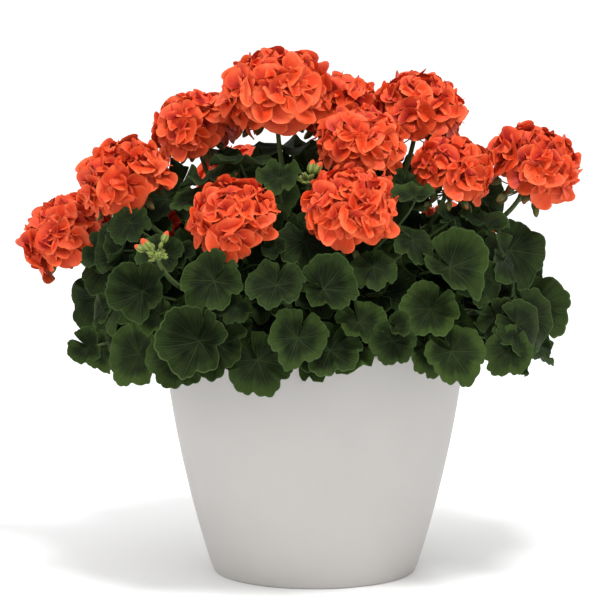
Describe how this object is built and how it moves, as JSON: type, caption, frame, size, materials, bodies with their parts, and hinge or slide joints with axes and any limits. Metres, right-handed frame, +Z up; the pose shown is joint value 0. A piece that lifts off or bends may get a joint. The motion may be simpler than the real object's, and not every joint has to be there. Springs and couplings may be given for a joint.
{
  "type": "potted zonal geranium",
  "caption": "Zonal geranium in full flower: round orange flower heads over a mound of lobed green leaves, growing in a plain tapered round planter.",
  "frame": {"origin": "centre of the planter's flat base, on the planter's axis", "axes": "+Z up along the planter's axis, -Y towards the side seen in the picture, +X to its right"},
  "size_m": [0.5592, 0.4489, 0.5362],
  "materials": {
    "planter": "satin",
    "mix": "rough",
    "green": "velvety",
    "petal": "soft satin"
  },
  "bodies": {
    "root": {"pot": "planter", "potting_mix": "mix", "shoot_top": "green", "shoot_upper_left": "green", "shoot_behind_top": "green", "shoot_centre_right": "green", "shoot_upper_right": "green", "shoot_mid_right": "green", "shoot_far_right": "green", "shoot_left": "green", "shoot_far_left": "green", "shoot_front_left": "green", "shoot_front_centre": "green", "shoot_young_left": "green", "shoot_young_centre": "green", "shoot_back_left": "green", "shoot_back_right": "green", "shoot_back_far_right": "green", "shoot_back_far_left": "green", "bloom_top": "petal", "bloom_upper_left": "petal", "bloom_behind_top": "petal", "bloom_centre_right": "petal", "bloom_upper_right": "petal", "bloom_mid_right": "petal", "bloom_far_right": "petal", "bloom_left": "petal", "bloom_far_left": "petal", "bloom_front_left": "petal", "bloom_front_centre": "petal", "bloom_back_left": "petal", "bloom_back_right": "petal", "bloom_back_far_right": "petal", "bloom_back_far_left": "petal"}
  },
  "joints": []
}
